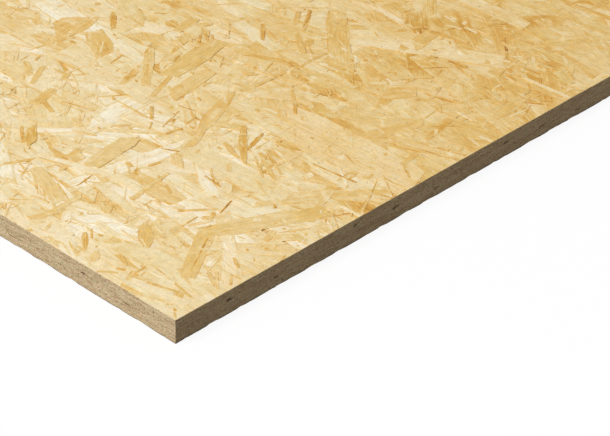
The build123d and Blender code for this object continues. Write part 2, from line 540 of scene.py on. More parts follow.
def placedStrand(rng, u1, v1, u2, v2, wide, tone, taper=placedPlan["taper"]):
    plan = placedPlan
    dx, dy = (u1 - u2) * mm, (v2 - v1) * mm
    x = halfLength - (u1 + u2) / 2 * mm
    y = -halfWidth + (v1 + v2) / 2 * mm
    long, wide = math.hypot(dx, dy), wide * mm
    mean = plan["meanTone"]
    tone = mean + (tone - mean) * plan["contrast"] - plan["paleShare"] * paleBy(x, y)
    strand = strandFrom(rng, kindOf(wide, long), x, y, long, wide, math.atan2(dy, dx), tone)
    strand["bend"] *= plan["bend"][0 if wide < plan["bendsUnder"] else 1]
    strand["taper"] = taper
    strand["jag"] *= plan["jag"]
    more = plan["linesMore"] if wide > plan["linesOver"] else 0.0
    strand["lines"] = plan["lines"] * strand["lines"] + more
    strand["whole"] = True
    strand["firm"] = rng.uniform(*plan["firm"])
    return strand


def crumbStrands(plan):
    rng = np.random.default_rng(plan["seed"])
    least, most = plan["long"]
    for _ in range(plan["count"]):
        u, v = (rng.random() ** plan["gather"] * reach for reach in plan["reach"])
        half = (least + (most - least) * rng.random() ** 2) / 2
        turn = rng.normal(0, math.radians(plan["turn"]))
        du, dv = half * math.cos(turn), half * math.sin(turn)
        wide = rng.uniform(*plan["wide"]) * (plan["narrowest"] + (1 - plan["narrowest"]) * rng.random())
        tone = float(np.clip(rng.normal(*plan["tone"]), *plan["tones"]))
        yield placedStrand(rng, u + du, v - dv, u - du, v + dv, wide, tone, rng.random())


def quiltStrands(rng):
    # the lowest strands, laid end to end in rows, so that nothing shows bare
    y = -halfWidth
    while y < halfWidth:
        wide = rng.uniform(*quiltPlan["wide"]) * mm
        x = -halfLength - rng.uniform(*quiltPlan["wide"]) * mm
        while x < halfLength:
            long = rng.uniform(*quiltPlan["long"]) * mm
            tone = rng.normal(*quiltPlan["tone"])
            strand = strandFrom(rng, "base", x + long / 2, y + wide / 2, long, wide, 0.0, tone)
            strand["taper"] = strand["bend"] = strand["jag"] = 0.0
            strand["slant"] = (0.0, 0.0)
            yield strand
            x += long
        y += wide


def layStrands(rng, side, bits, broad):
    # returns the strands that show, each with its level under the surface
    plan = strandPlan
    cell = plan["cell"]
    columns = round(boardBox["length"] / cell)
    rows = round(boardBox["width"] / cell)
    level = np.zeros((rows, columns), np.int16)
    covered = np.zeros((rows, columns), bool)
    laid = []

    def lay(strand, least=None, hides=True):
        cosTurn, sinTurn = math.cos(strand["turn"]), math.sin(strand["turn"])
        reach = math.hypot(strand["long"], strand["wide"]) / 2 * plan["look"]
        c0 = max(0, int((strand["x"] - reach + halfLength) / cell))
        c1 = min(columns, int((strand["x"] + reach + halfLength) / cell) + 1)
        r0 = max(0, int((strand["y"] - reach + halfWidth) / cell))
        r1 = min(rows, int((strand["y"] + reach + halfWidth) / cell) + 1)
        if c0 >= c1 or r0 >= r1:
            return
        dx = (np.arange(c0, c1) + 0.5) * cell - halfLength - strand["x"]
        dy = ((np.arange(r0, r1) + 0.5) * cell - halfWidth - strand["y"])[:, None]
        along = dx * cosTurn + dy * sinTurn
        across = -dx * sinTurn + dy * cosTurn - strand["bend"] * along ** 2
        end = np.where(along > 0, strand["slant"][1], strand["slant"][0]) * across
        fromEnd, fromMiddle = abs(along - end), abs(across)
        alongReach = max(strand["long"], plan["leastLong"] * cell) / 2
        acrossReach = max(strand["wide"], plan["leastWide"] * cell) / 2
        touched = (fromEnd < alongReach + cell) & (fromMiddle < acrossReach + plan["beside"] * cell)
        sure = plan["sureWide"] - plan["taperLoss"] * strand["taper"]
        sure -= 0 if strand["whole"] else plan["splinterLoss"]
        inside = (fromEnd < alongReach - plan["jagLoss"] * strand["jag"]) & (fromMiddle < acrossReach * sure)
        if least is None:
            least = max(plan["leastCells"], plan["leastSeen"] * inside.sum())
        if (inside & ~covered[r0:r1, c0:c1]).sum() < least:
            return
        patch = level[r0:r1, c0:c1]
        strand["level"] = int(patch[touched].max(initial=0)) + 1
        if hides:
            patch[touched] = strand["level"]
            covered[r0:r1, c0:c1] |= inside
        laid.append(strand)

    for strand in bits:
        lay(strand, 0)
    scale = 1.0 if side == "top" else plan["underScale"]
    for index, layer in enumerate(strandLayers[side]):
        names = [name for name, count in layer.items() for _ in range(count)]
        rng.shuffle(names)
        for name in names:
            x = rng.uniform(-halfLength, halfLength)
            y = rng.uniform(-halfWidth, halfWidth)
            lay(throwStrand(rng, name, x, y, scale))
        if index == 0:
            for strand in broad:
                lay(strand, 0)
    thrown = len(laid)
    for strand in quiltStrands(rng):
        lay(strand, 1, False)
    share = 100 * covered.mean()
    say(f"{side}: {thrown} strands thrown, {len(laid) - thrown} below, {share:.1f} %, {level.max()} deep")
    return laid


# Plate meshes

platePlan = {
    "spacing": (0.25, 0.4),  # how unevenly its grid is spaced, across and along
    "wander": 0.08,  # of its sides, as a share of half its width
    "splinters": 0.35,  # the share of strands that have lost a splinter from one side near an end
    "splinterDeep": (0.15, 0.6),
    "splinterMesh": 5,  # the fewest points along a strand for that
    "endsFrom": 0.35,  # where its ends begin, as a share of half its length
    "endRoom": 0.3,
    "swirlLength": 30 * mm,
    "mapUnit": 100 * mm,  # the grain maps count in these
    "mapSpread": 40,
    "ringSpread": 50,
    "mostCorners": 24,  # of a plate's underside
    "ranks": {"cut": -4000, "below": -3000, "walls": -2000, "tops": 0},  # the order of its faces
}
plateTemplates = {}


def plateTemplate(rows, columns):
    # faces of a closed plate: a grid on top, its outline again below, walls between
    if (rows, columns) not in plateTemplates:
        grid = np.arange(rows * columns).reshape(rows, columns)
        outline = np.concatenate([grid[0], grid[1:, -1], grid[-1, -2::-1], grid[-2:0:-1, 0]])
        below = rows * columns + np.arange(len(outline))
        tops = np.stack([grid[:-1, :-1], grid[:-1, 1:], grid[1:, 1:], grid[1:, :-1]], -1).reshape(-1, 4)
        walls = np.stack([outline, below, np.roll(below, -1), np.roll(outline, -1)], -1)
        plateTemplates[rows, columns] = (outline, tops, walls, below[::-1])
    return plateTemplates[rows, columns]


def shapeStrand(rng, strand):
    # the plate's vertices, with its grain map, ring number and place between its sides and ends
    plan = platePlan
    rows, columns = strandKinds[strand["kind"]]["mesh"]
    long, wide = strand["long"], strand["wide"]
    across = np.linspace(-1, 1, rows)
    along = np.linspace(-1, 1, columns)
    for places, uneven, count in ((across, plan["spacing"][0], rows), (along, plan["spacing"][1], columns)):
        places[1:-1] += rng.uniform(-uneven, uneven, count - 2) / count
    wander = rng.normal(0, 0.0 if strand["kind"] == "base" else plan["wander"], (2, columns))
    if rng.random() < plan["splinters"] and columns >= plan["splinterMesh"] and not strand["whole"]:
        side, cut = rng.integers(2), rng.integers(2, columns - 1)
        lost = rng.uniform(*plan["splinterDeep"])
        if rng.random() < 0.5:
            wander[side, cut:] -= lost
        else:
            wander[side, :cut] -= lost
    s = along * long / 2
    taper = 1 - strand["taper"] * abs(along) ** 2
    upper = wide / 2 * taper * (1 + wander[1])
    lower = -wide / 2 * taper * (1 + wander[0])
    share = (across[:, None] + 1) / 2
    t = lower * (1 - share) + upper * share
    jag = rng.uniform(-1, 1, (rows, 2)) * strand["jag"]
    pull = np.clip((abs(along) - plan["endsFrom"]) / (1 - plan["endsFrom"]), 0, 1)
    ends = np.where(along > 0, strand["slant"][1], strand["slant"][0]) * t
    ends = ends + np.where(along > 0, jag[:, 1:], jag[:, :1])
    room = plan["endRoom"] * long
    grid = s + np.clip(ends, -room, room) * pull
    ring = t * strand["rings"] + strand["swirl"] * (grid / plan["swirlLength"]) ** 2
    t = t + strand["bend"] * grid ** 2
    cosTurn, sinTurn = math.cos(strand["turn"]), math.sin(strand["turn"])
    x = strand["x"] + grid * cosTurn - t * sinTurn
    y = strand["y"] + grid * sinTurn + t * cosTurn
    top = thickness - strandPlan["levelStep"] * (strand["level"] - 1)
    outline = plateTemplate(rows, columns)[0]
    points = np.stack([x, y, np.full_like(x, top)], -1).reshape(-1, 3)
    foot = points[outline].copy()
    foot[:, 2] = top - strandPlan["plateDepth"]
    shift = rng.uniform(0, plan["mapSpread"], 2)
    grain = np.stack([grid / plan["mapUnit"] + shift[0], t / plan["mapUnit"] + shift[1]], -1).reshape(-1, 2)
    ring = (ring + rng.uniform(0, plan["ringSpread"])).reshape(-1)
    sideAt = np.repeat(across, columns)
    endAt = np.tile(along, rows)
    facts = np.stack([ring, sideAt, endAt], -1)
    return {
        "size": (rows, columns),
        "points": np.concatenate([points, foot]),
        "grain": np.concatenate([grain, grain[outline]]),
        "facts": np.concatenate([facts, facts[outline]]),
    }


def padded(faces, wide):
    out = np.full((len(faces), wide), -1)
    out[:, :faces.shape[1]] = faces
    return out


def setLayer(mesh, name, values, domain="POINT"):
    mesh.attributes.new(name, "FLOAT", domain).data.foreach_set("value", values.astype(np.float32))


def setMap(mesh, name, places):
    mesh.uv_layers.new(name=name).data.foreach_set("uv", places.astype(np.float32).reshape(-1))


def joinPlates(name, strands, shapes):
    # one mesh of many plates, with its lowest faces first and its topmost last
    polygons, order, start = [], [], 0
    ranks = platePlan["ranks"]
    for strand, shape in zip(strands, shapes):
        _, tops, walls, below = plateTemplate(*shape["size"])
        for faces, rank in ((below[None], ranks["below"]), (walls, ranks["walls"]), (tops, ranks["tops"])):
            faces = padded(faces, platePlan["mostCorners"])
            faces[faces >= 0] += start
            polygons.append(faces)
            order += [rank - strand["level"]] * len(faces)
        start += len(shape["points"])
    polygons = np.concatenate(polygons)
    order = np.array(order, float)
    polygons = polygons[np.argsort(order, kind="stable")]
    order = np.sort(order, kind="stable")
    corners = polygons[polygons >= 0]
    counts = (polygons >= 0).sum(1)
    points = np.concatenate([shape["points"] for shape in shapes])
    facts = np.concatenate([shape["facts"] for shape in shapes])
    per = [len(shape["points"]) for shape in shapes]
    mesh = bpy.data.meshes.new(name)
    mesh.vertices.add(len(points))
    mesh.vertices.foreach_set("co", points.astype(np.float32).reshape(-1))
    mesh.loops.add(len(corners))
    mesh.loops.foreach_set("vertex_index", corners.astype(np.int32))
    mesh.polygons.add(len(counts))
    mesh.polygons.foreach_set("loop_start", (np.cumsum(counts) - counts).astype(np.int32))
    mesh.update(calc_edges=True)
    values = {
        "ring": facts[:, 0],
        "sideAt": facts[:, 1],
        "endAt": facts[:, 2],
        "halfWide": np.repeat([strand["wide"] / 2 / mm for strand in strands], per),
        "halfLong": np.repeat([strand["long"] / 2 / mm for strand in strands], per),
    }
    for key in ("tone", "shade", "lines", "level", "firm"):
        values[key] = np.repeat([strand[key] for strand in strands], per)
    for key, value in values.items():
        setLayer(mesh, key, value)
    setLayer(mesh, "order", order, "FACE")
    grain = np.concatenate([shape["grain"] for shape in shapes])
    setMap(mesh, "grainMap", grain[corners])
    return mesh


# How far the strands stop short of the lip, as a slow and a quick wave along the arris
arrisPlan = {
    "mean": 0.12, "slow": 0.10, "quick": 0.05,  # millimetres
    "slowLengths": (7.3 * mm, 3.1 * mm), "slowFrom": 1.3, "quickLength": 0.9 * mm,
    "nearCut": 2e-6,  # metres from the cut, within which a point lies on it
}


def arrisWander(along):
    plan = arrisPlan
    slow = np.sin(along / plan["slowLengths"][0]) * np.sin(along / plan["slowLengths"][1] + plan["slowFrom"])
    quick = np.sin(along / plan["quickLength"])
    return (plan["mean"] + plan["slow"] * slow + plan["quick"] * quick) * mm


def pointsOf(mesh):
    points = np.zeros(len(mesh.vertices) * 3)
    mesh.vertices.foreach_get("co", points)
    return points.reshape(-1, 3)


def trimToBoard(mesh):
    # cuts off what hangs over the board's sides, closes the cuts and keeps the faces' order
    reach = np.array([halfLength, halfWidth]) - strandPlan["lipInset"]
    points = pointsOf(mesh)
    sides = [(axis, sign) for axis in (0, 1) for sign in (1, -1)]
    needed = [(axis, sign) for axis, sign in sides if (points[:, axis] * sign).max() > reach[axis]]
    if not needed:
        return
    work = bmesh.new()
    work.from_mesh(mesh)
    for axis, sign in needed:
        normal = Vector((0, 0, 0))
        normal[axis] = sign
        everything = work.verts[:] + work.edges[:] + work.faces[:]
        bmesh.ops.bisect_plane(
            work, geom=everything, dist=1e-7, plane_co=normal * reach[axis], plane_no=normal, clear_outer=True
        )
        bmesh.ops.holes_fill(work, edges=[edge for edge in work.edges if edge.is_boundary], sides=0)
        for vert in work.verts:
            if abs(vert.co[axis] * sign - reach[axis]) < arrisPlan["nearCut"]:
                vert.co[axis] -= sign * float(arrisWander(vert.co[1 - axis]))
    layer = work.faces.layers.float["order"]
    work.faces.sort(key=lambda face: face[layer] if face[layer] else platePlan["ranks"]["cut"])
    work.to_mesh(mesh)
    work.free()


def flatMap(mesh):
    # the map that finishes are drawn to: the board as seen from above
    corners = np.zeros(len(mesh.loops), np.int32)
    mesh.loops.foreach_get("vertex_index", corners)
    points = pointsOf(mesh)[:, :2]
    low = points.min(0)
    places = (points - low) / (points.max(0) - low).max()
    setMap(mesh, "OFBake", places[corners])


def addPiece(name, mesh, material):
    mesh.materials.append(material)
    piece = bpy.data.objects.new(name, mesh)
    showInScene(piece)
    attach(piece, boardBox["body"])
    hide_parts(boardBox["node"])
    return len(mesh.loops) - 2 * len(mesh.polygons)  # its triangles


def tileOf(strand):
    column = int((strand["x"] + halfLength) / boardBox["length"] * tileColumns)
    row = int((strand["y"] + halfWidth) / boardBox["width"] * tileRows)
    return min(tileRows - 1, max(0, row)) * tileColumns + min(tileColumns - 1, max(0, column))


def makeFace(side, material):
    rng = np.random.default_rng(seeds[side])
    bits, broad = [], []
    if side == "top":
        bits = [placedStrand(rng, *row) for row in cornerBits]
        for u, v, size, tone in cornerSpots:
            lean = size * rng.uniform(-placedPlan["spotLean"], placedPlan["spotLean"])
            wide = size * placedPlan["spotWide"]
            bits.append(placedStrand(rng, u + size / 2, v + lean, u - size / 2, v - lean, wide, tone))
        broad = [placedStrand(rng, *row) for row in cornerBroad]
        bits += crumbStrands(crumbPlan)
    laid = layStrands(rng, side, bits, broad)
    shapes = [shapeStrand(rng, strand) for strand in laid]
    triangles = 0
    for tile in range(tileColumns * tileRows):
        chosen = [i for i, strand in enumerate(laid) if tileOf(strand) == tile]
        name = f"strands_{side}_{tile + 1}"
        mesh = joinPlates(name, [laid[i] for i in chosen], [shapes[i] for i in chosen])
        trimToBoard(mesh)
        flatMap(mesh)
        if side == "under":  # half a turn about the board's length lays the face underneath
            mesh.transform(Matrix.Translation((0, 0, thickness)) @ Matrix.Rotation(math.pi, 4, "X"))
        mesh.validate()
        mesh.shade_flat()
        triangles += addPiece(name, mesh, material)
    say(f"{side} face made, {triangles} triangles")


# Strand material

# the near-white end of these tones also serves as painted highlight on lifted edges
woodTones = [
    (0.00, paint(253, 243, 218)),
    (0.16, paint(245, 227, 186)),
    (0.36, paint(238, 211, 154)),
    (0.54, paint(229, 190, 112)),
    (0.72, paint(215, 161, 67)),
    (0.88, paint(184, 125, 46)),
    (1.00, paint(126, 80, 34)),
]

# Loose bits pressed into the face: the mesh of cells that hold one each, their sizes in
# millimetres, their turn in degrees, the share of cells filled and the tones
loosePlans = [
    {"cell": (44, 26), "long": 15, "wide": 1.2, "turn": 45, "share": 0.3, "tones": (0.4, 0.8),
     "shift": (3.1, 7.7)},
    {"cell": (22, 14), "long": 8, "wide": 2.4, "turn": 70, "share": 0.35, "tones": (0.05, 0.3),
     "shift": (9.4, 1.3)},
    {"cell": (15, 11), "long": 4, "wide": 1.8, "turn": 90, "share": 0.2, "tones": (0.4, 0.85),
     "shift": (2.7, 6.1)},
    {"cell": (9, 6), "long": 2.8, "wide": 0.8, "turn": 90, "share": 0.3, "tones": (0.1, 0.95),
     "shift": (5.2, 4.6)},
    {"cell": (17, 8), "long": 9, "wide": 1.7, "turn": 55, "share": 0.4, "tones": (0.26, 0.52),
     "shift": (8.6, 2.2)},
]
# What all of them share
bitPlan = {
    "ragged": (900.0, 0.6),  # the scale of their rough outline, and its size as a share of their width
    "bow": 0.5,
    "shortest": 0.3, "narrowest": 0.35,  # as shares of the sizes above
    "endFade": (0.7, 1.05), "sideFade": (0.55, 1.05),
    "remix": (7.31, 5.77, 3.3),  # these make further chance values out of a cell's own three
    "edge": 0.001,
    "strength": 0.85,
}


def looseBits(n, place, plan):
    # returns where the bits are and their tones
    cell = [side * mm for side in plan["cell"]]
    sheet = n.stretched(place, (1 / cell[0], 1 / cell[1]), plan["shift"])
    spot = n.cells(sheet, "Position")
    turnBy, sizeBy, toneBy = n.split(spot.other("Color"))
    offset = n.make("ShaderNodeVectorMath", {"operation": "SUBTRACT"}, [sheet, spot])
    dx = n.make("ShaderNodeSeparateXYZ", {}, [offset])
    dx, dy = dx * plan["cell"][0], dx.other("Y") * plan["cell"][1]
    angle = (turnBy - 0.5) * (2 * math.radians(plan["turn"]))
    cosine, sine = angle.math("COSINE"), angle.math("SINE")
    along = dx * cosine + dy * sine
    across = dy * cosine - dx * sine
    scale, ragged = bitPlan["ragged"]
    outline = n.noise(place, scale, 1.0) - 0.5
    bow = (toneBy - 0.5) * (bitPlan["bow"] / plan["long"])
    across = across + along * along * bow + outline * (ragged * plan["wide"])
    wideMix, shareMix, toneMix = bitPlan["remix"]
    shortest, narrowest = bitPlan["shortest"], bitPlan["narrowest"]
    halfLong = plan["long"] * (shortest + sizeBy * (1 - shortest))
    halfWide = plan["wide"] * (narrowest + (sizeBy * wideMix).fraction() * (1 - narrowest))
    inside = n.fade(abs(along) / halfLong, *bitPlan["endFade"])
    inside = inside * n.fade(abs(across) / halfWide, *bitPlan["sideFade"])
    limit = 1 - plan["share"]
    chosen = n.step((toneBy * shareMix + turnBy).fraction(), limit, limit + bitPlan["edge"])
    low, high = plan["tones"]
    return inside * chosen, low + (toneBy * toneMix + sizeBy).fraction() * (high - low)


# The noises of the strands' finish: the pitch of each along and across the grain, or its scale over
# the board, then its detail, its roughness and its shift
grainNoises = {
    "waver": ((1.2, 9.0), 3.0),
    "ringPatches": ((2.0, 14.0), 2.0),
    "fibre": ((7.0, 170.0), 3.0, 0.65),
    "streak": ((3.0, 42.0), 3.0, 0.6),
    "blotch": ((3.2, 9.0), 3.0, 0.6),
    "wisp": ((5.0, 70.0), 2.0, 0.55, (7.3, 2.9)),
    "endTears": ((4.0, 110.0), 2.0),
    "sideTears": ((9.0, 30.0), 3.0, 0.7),
    "glint": ((9.0, 110.0), 3.0, 0.6, (3.7, 5.1)),
}
boardNoises = {
    "cloud": (16.0, 4.0, 0.6),
    "grit": (620.0, 3.0, 0.7),
    "bed": ((30.0, 260.0), 3.0, 0.6),
    "flatPatches": (26.0, 2.0),
    "seamPatches": (60.0, 2.0),
    "bitPatches": (11.0, 2.0),
    "specks": (420.0, 2.0),
    "speckPatches": (34.0, 2.0),
    "warmth": (30.0, 3.0, 0.6),
    "dapple": (190.0, 3.0, 0.7),
}
woodPlan = {
    "tones": (0.06, 0.88),  # where tone 0 lies on woodTones, and how far past that tone 1 lies
    # how much each noise adds to the tone, and how calm a firm strand is
    "streak": 0.24, "blotch": 0.44, "fibre": 0.14, "grit": 0.08, "cloud": 0.5, "calm": 0.5,
    # late wood: how far it wavers, in rings, the rise and crest of its line, and its tone
    "waver": 3.2, "ring": (0.35, 0.86), "late": 0.03, "lateLines": 0.15,
    "level": 0.002,  # browner by this for each level under the surface, a painted shade under the strands above
    "wispEdge": (0.62, 0.72), "brownWisps": 0.17, "paleWisps": 0.19,
    # what lies under a torn strand, and where strands are torn: least noise, reach in millimetres
    # and how soft the tear's edge is
    "bed": (0.42, 1.2), "endTears": (0.40, 62.0, 0.7, 0.4), "sideTears": (0.47, 12.0, 0.6, 0.3),
    "torn": 0.75, "tornFirm": 0.5,
    # flat stretches, whose strands fade towards their sides and ends over these millimetres
    "flatRims": ((0.2, 2.6), (0.3, 5.0)), "flatWide": (2.5, 5.0), "flat": 0.7, "flatBed": (0.40, 0.4),
    # dust and shadow in the seams
    "seamRims": ((0.15, 0.8), (0.1, 0.6)), "seam": 0.20,
    "bitsLeast": 0.45, "speck": 0.6, "speckColour": (128, 84, 40),
    # where each patchy noise begins and is full
    "ringPatches": (0.32, 0.66), "flatPatches": (0.44, 0.58), "seamPatches": (0.46, 0.62),
    "bitPatches": (0.42, 0.58), "specks": (0.70, 0.77), "speckPatches": (0.48, 0.62),
    # painted light and shade, and tint
    "light": 0.985, "lightBy": {"dapple": 0.30, "grit": 0.34, "glint": 0.24},
    "lean": 0.007, "warmth": 0.12,
    "relief": {"fibre": 0.4, "streak": 0.5, "late": 0.3, "raised": 0.5, "seam": 0.6, "frayed": 0.3},
    "bump": (0.4, 0.15 * mm), "rough": (0.50, 0.2), "roughBelow": 0.6, "specular": 0.3,
}


def makeStrandWood(name, glossVaries):
    plan = woodPlan
    material = bpy.data.materials.new(name)
    n = Nodes(material)
    grain, place = n.uv("grainMap"), n.place()
    noise = {key: n.noise(grain, *facts) for key, facts in grainNoises.items()}
    noise |= {key: n.noise(place, *facts) for key, facts in boardNoises.items()}
    ring, sideAt, endAt = (n.attribute(key) for key in ("ring", "sideAt", "endAt"))
    tone, shade, lines, level = (n.attribute(key) for key in ("tone", "shade", "lines", "level"))
    firm, halfWide = n.attribute("firm"), n.attribute("halfWide")
    lively = 1 - firm * plan["calm"]
    sideGap = (1 - abs(sideAt)) * halfWide
    endGap = (1 - abs(endAt)) * n.attribute("halfLong")

    def patches(key):
        return n.step(noise[key], *plan[key])

    def rims(side, end):
        return n.fade(sideGap, *side).math("MAXIMUM", n.fade(endGap, *end))

    # late wood: a soft line once a ring, wavering along the strand
    phase = (ring + noise["waver"] * plan["waver"]).fraction()
    rise, crest = plan["ring"]
    late = n.step(phase, rise, crest) * n.fade(phase, crest, 1.0) * patches("ringPatches")
    # fibres, streaks and honey-coloured blotches, all drawn out along the grain
    drawn = (noise["streak"] - 0.5) * plan["streak"] + (noise["blotch"] - 0.5) * plan["blotch"]
    toneHere = tone + drawn * lively
    for key in ("fibre", "grit", "cloud"):
        toneHere = toneHere + (noise[key] - 0.5) * plan[key]
    # the lower a strand lies, the browner: a painted shade under the strands above it
    toneHere = toneHere + late * (plan["late"] + lines * plan["lateLines"]) + level * plan["level"]
    # torn fibre: brown and pale wisps
    wisps = n.step(noise["wisp"], *plan["wispEdge"]) * plan["brownWisps"]
    wisps = wisps - n.step(1 - noise["wisp"], *plan["wispEdge"]) * plan["paleWisps"]
    toneHere = toneHere + wisps * lively
    # frayed ends and sides, where what lies under the strand shows through
    bedTone, bedBy = plan["bed"]
    bed = bedTone + (noise["bed"] - 0.5) * bedBy
    frays = []
    for gap, key in ((endGap, "endTears"), (sideGap, "sideTears")):
        least, reach, inner, rim = plan[key]
        reach = (noise[key] - least).math("MAXIMUM", 0.0) * reach
        frays.append(n.fade(gap, reach * inner, reach + rim))
    frayed = frays[0].math("MAXIMUM", frays[1])
    toneHere = n.mix(frayed * (plan["torn"] - firm * plan["tornFirm"]), toneHere, bed)
    # in some stretches a strand is pressed so flat that its outline fades
    soft = rims(*plan["flatRims"]) * patches("flatPatches") * n.step(halfWide, *plan["flatWide"])
    flatTone, flatBy = plan["flatBed"]
    flatBed = flatTone + (bed - bedTone) * flatBy
    toneHere = n.mix(soft * (plan["flat"] - firm * plan["flat"]), toneHere, flatBed)
    # dust and shadow in the seam along some sides
    seam = rims(*plan["seamRims"]) * patches("seamPatches")
    toneHere = toneHere + seam * plan["seam"]
    # loose bits, thicker in some stretches
    messy = plan["bitsLeast"] + (1 - plan["bitsLeast"]) * patches("bitPatches")
    raised = 0.0
    for bits in loosePlans:
        inside, bitTone = looseBits(n, place, bits)
        inside = inside * messy * bitPlan["strength"]
        toneHere = n.mix(inside, toneHere, bitTone)
        raised = inside + raised
    least, more = plan["tones"]
    colour = n.ramp((least + toneHere * more).clamp(), woodTones)
    speck = patches("specks") * patches("speckPatches")
    colour = n.blend(speck * plan["speck"], colour, paint(*plan["speckColour"]))
    # each strand leans a little pink or green; painted light and shade lie on them all in patches and glints
    lean = shade * plan["lean"]
    warmth = (noise["warmth"] - 0.5) * plan["warmth"]
    light = plan["light"]
    for key, by in plan["lightBy"].items():
        light = light + (noise[key] - 0.5) * by
    colour = n.tinted(colour, light + lean, light - lean * 0.5, light - lean * 1.5 + warmth)
    relief = plan["relief"]
    height = noise["fibre"] * relief["fibre"] + noise["streak"] * relief["streak"] - late * relief["late"]
    height = height + raised * relief["raised"] - seam * relief["seam"] - frayed * relief["frayed"]
    least, more = plan["rough"]
    rough = (least + noise["streak"] * more).clamp() if glossVaries else plan["roughBelow"]
    n.finish(colour, rough, n.bump(*plan["bump"], height), plan["specular"])
    return material


makeFace("top", makeStrandWood("pressedStrands", True))
makeFace("under", makeStrandWood("pressedStrandsBelow", False))


# Sawn edges

edgePlan = {
    "columnPitch": 2.9 * mm,
    "closestColumns": 0.7 * mm,
    "rowPitch": 0.66 * mm,
    "faceLayer": 4.5 * mm,
    "backing": 14 * mm,
    "mitreFrom": 30 * mm,
    "boxInset": 6 * mm,  # the inner body stops this far inside the sawn sides
    "coreTop": 1.25 * mm,  # and this far under either face
    "roughness": 0.12 * mm,
    "calm": 6 * mm,  # near a corner the saw's roughness dies away over this length
    "torn": (0.55, 0.30),  # how deep the two lowest rows are torn, in millimetres
    "tornSteps": (4, 1.4), "tornMix": 0.6,  # in columns for each turn of its two waves
    "reliefSteps": (6, 1.5),  # the same for the roughness
    "bevel": 0.2 * mm,  # how far the hidden faces above and below lean inwards
    "boxProud": 0.1 * mm,  # the inner body reaches this far past them
    "onSide": 5 * mm,  # the solid's points that are this near a side belong to it
    "rayStart": 5 * mm,  # the solid is felt for from this far outside
    "raySpread": 0.2 * mm,
    "lowRows": (0.05 * mm, 0.35 * mm, 0.7 * mm, 1.2 * mm, 2.2 * mm, 3.3 * mm),
    "highRows": (3.2 * mm, 1.9 * mm, 0.7 * mm, 0.05 * mm),  # from the top down
    "nearCorner": 0.05 * mm,
    "nearFace": 0.03 * mm,
    "leastGap": 0.45,  # between columns, as a share of their pitch
}


def smoothNoise(rng, count, pitch):
    # values that drift from -1 to 1, with about one turn for each pitch of steps
    knots = rng.uniform(-1, 1, int(count / pitch) + 3)
    return np.interp(np.arange(count) / pitch, np.arange(len(knots)), knots)


def edgeColumns(start, heading, run, cad):
    # places along a stretch of edge: an even pitch, and the corners of the solid's chips and voids
    corners = []
    outward = Vector((heading.y, -heading.x, 0))
    for vertex in cad.vertices:
        offset = vertex.co - start
        if abs(offset.dot(outward)) < edgePlan["onSide"] and 0 < offset.dot(heading) < run:
            corners.append(offset.dot(heading))
    places = [0.0, run]
    pitch = edgePlan["columnPitch"]
    for place in sorted(corners) + list(np.arange(pitch, run, pitch)):
        gap = edgePlan["closestColumns"] if place in corners else edgePlan["leastGap"] * pitch
        if min(abs(place - other) for other in places) > gap:
            places.append(place)
    return np.array(sorted(places))


def edgeHeights():
    # the lip rows, then close rows through the core layer, where the voids are
    layer = edgePlan["faceLayer"]
    core = np.arange(layer, thickness - layer + 0.1 * mm, edgePlan["rowPitch"])
    return np.array([*edgePlan["lowRows"], *core, *(thickness - height for height in edgePlan["highRows"])])


